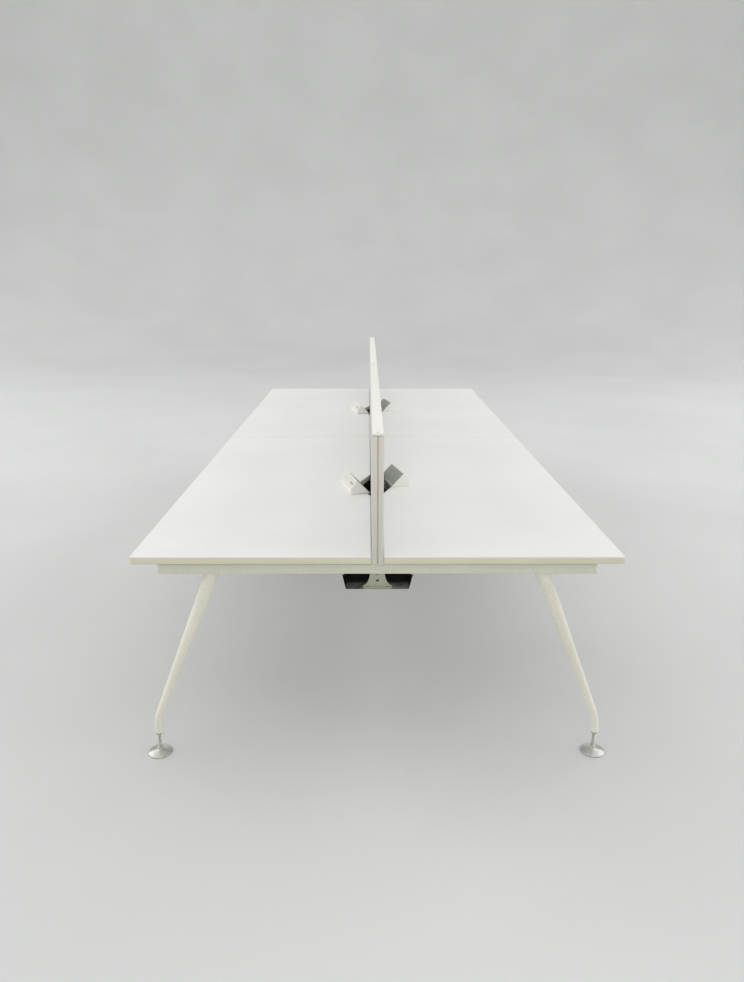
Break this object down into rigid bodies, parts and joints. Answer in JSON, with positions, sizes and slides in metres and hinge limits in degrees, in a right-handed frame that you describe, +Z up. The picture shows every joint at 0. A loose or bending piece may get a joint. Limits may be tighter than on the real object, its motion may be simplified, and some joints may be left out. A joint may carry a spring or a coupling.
{
  "type": "benching desk",
  "caption": "Double-sided office benching desk with splayed white legs, chrome levelling feet, a low screen down the middle, desk power units and a cable tray.",
  "frame": {"origin": "on the floor under the middle of the bench", "axes": "+Y along the bench, away from the pictured end; +X to the right in the picture; +Z up"},
  "size_m": [1.62, 3.606, 1.163],
  "materials": {
    "board": "white melamine, cream edging",
    "frame_paint": "off-white powder coat",
    "hanger_paint": "white powder coat",
    "post_paint": "off-white powder coat on an extrusion",
    "cap_paint": "white powder coat on an extrusion",
    "chrome": "polished chrome",
    "screen_cloth": "light grey weave",
    "tray_paint": "dark grey powder coat",
    "white_plastic": "fine matte",
    "plate_plastic": "smooth",
    "grey_steel": "fine-textured grey paint",
    "screw_steel": "zinc plated"
  },
  "bodies": {
    "frame": {"desktop_near_left": "board", "desktop_near_right": "board", "desktop_far_left": "board", "desktop_far_right": "board", "cross_rail_near": "frame_paint", "leg_near_left": "frame_paint", "leg_near_right": "frame_paint", "screen_post_near": "post_paint", "screen_shoe_near": "post_paint", "cross_rail_middle": "frame_paint", "leg_middle_left": "frame_paint", "leg_middle_right": "frame_paint", "screen_post_middle": "post_paint", "screen_shoe_middle": "post_paint", "cross_rail_far": "frame_paint", "leg_far_left": "frame_paint", "leg_far_right": "frame_paint", "screen_post_far": "post_paint", "screen_shoe_far": "post_paint", "long_beam_near_left": "frame_paint", "long_beam_near_right": "frame_paint", "cable_tray_near": "tray_paint", "tray_hanger_near_end": "hanger_paint", "tray_hanger_near_middle": "hanger_paint", "screen_panel_near": "screen_cloth", "screen_cap_near": "cap_paint", "screen_bottom_rail_near": "post_paint", "power_housing_near_left": "white_plastic", "power_sockets_near_left": "plate_plastic", "power_clamp_near_left": "grey_steel", "power_housing_near_right": "white_plastic", "power_sockets_near_right": "plate_plastic", "power_clamp_near_right": "grey_steel", "long_beam_far_left": "frame_paint", "long_beam_far_right": "frame_paint", "cable_tray_far": "tray_paint", "tray_hanger_far_end": "hanger_paint", "tray_hanger_far_middle": "hanger_paint", "screen_panel_far": "screen_cloth", "screen_cap_far": "cap_paint", "screen_bottom_rail_far": "post_paint", "power_housing_far_left": "white_plastic", "power_sockets_far_left": "plate_plastic", "power_clamp_far_left": "grey_steel", "power_housing_far_right": "white_plastic", "power_sockets_far_right": "plate_plastic", "power_clamp_far_right": "grey_steel"},
    "foot_near_left_body": {"foot_near_left": "chrome"},
    "foot_near_right_body": {"foot_near_right": "chrome"},
    "foot_middle_left_body": {"foot_middle_left": "chrome"},
    "foot_middle_right_body": {"foot_middle_right": "chrome"},
    "foot_far_left_body": {"foot_far_left": "chrome"},
    "foot_far_right_body": {"foot_far_right": "chrome"},
    "clamp_screw_near_left_body": {"power_clamp_screw_near_left": "screw_steel"},
    "clamp_screw_near_right_body": {"power_clamp_screw_near_right": "screw_steel"},
    "clamp_screw_far_left_body": {"power_clamp_screw_far_left": "screw_steel"},
    "clamp_screw_far_right_body": {"power_clamp_screw_far_right": "screw_steel"}
  },
  "joints": [
    {"name": "foot_near_left_level", "type": "slide", "parent": "frame", "child": "foot_near_left_body", "axis": [0, 0, -1], "range_m": [0, 0.02]},
    {"name": "foot_near_right_level", "type": "slide", "parent": "frame", "child": "foot_near_right_body", "axis": [0, 0, -1], "range_m": [0, 0.02]},
    {"name": "foot_middle_left_level", "type": "slide", "parent": "frame", "child": "foot_middle_left_body", "axis": [0, 0, -1], "range_m": [0, 0.02]},
    {"name": "foot_middle_right_level", "type": "slide", "parent": "frame", "child": "foot_middle_right_body", "axis": [0, 0, -1], "range_m": [0, 0.02]},
    {"name": "foot_far_left_level", "type": "slide", "parent": "frame", "child": "foot_far_left_body", "axis": [0, 0, -1], "range_m": [0, 0.02]},
    {"name": "foot_far_right_level", "type": "slide", "parent": "frame", "child": "foot_far_right_body", "axis": [0, 0, -1], "range_m": [0, 0.02]},
    {"name": "clamp_screw_near_left_travel", "type": "slide", "parent": "frame", "child": "clamp_screw_near_left_body", "axis": [0, 0, -1], "range_m": [0, 0.012]},
    {"name": "clamp_screw_near_right_travel", "type": "slide", "parent": "frame", "child": "clamp_screw_near_right_body", "axis": [0, 0, -1], "range_m": [0, 0.012]},
    {"name": "clamp_screw_far_left_travel", "type": "slide", "parent": "frame", "child": "clamp_screw_far_left_body", "axis": [0, 0, -1], "range_m": [0, 0.012]},
    {"name": "clamp_screw_far_right_travel", "type": "slide", "parent": "frame", "child": "clamp_screw_far_right_body", "axis": [0, 0, -1], "range_m": [0, 0.012]}
  ]
}
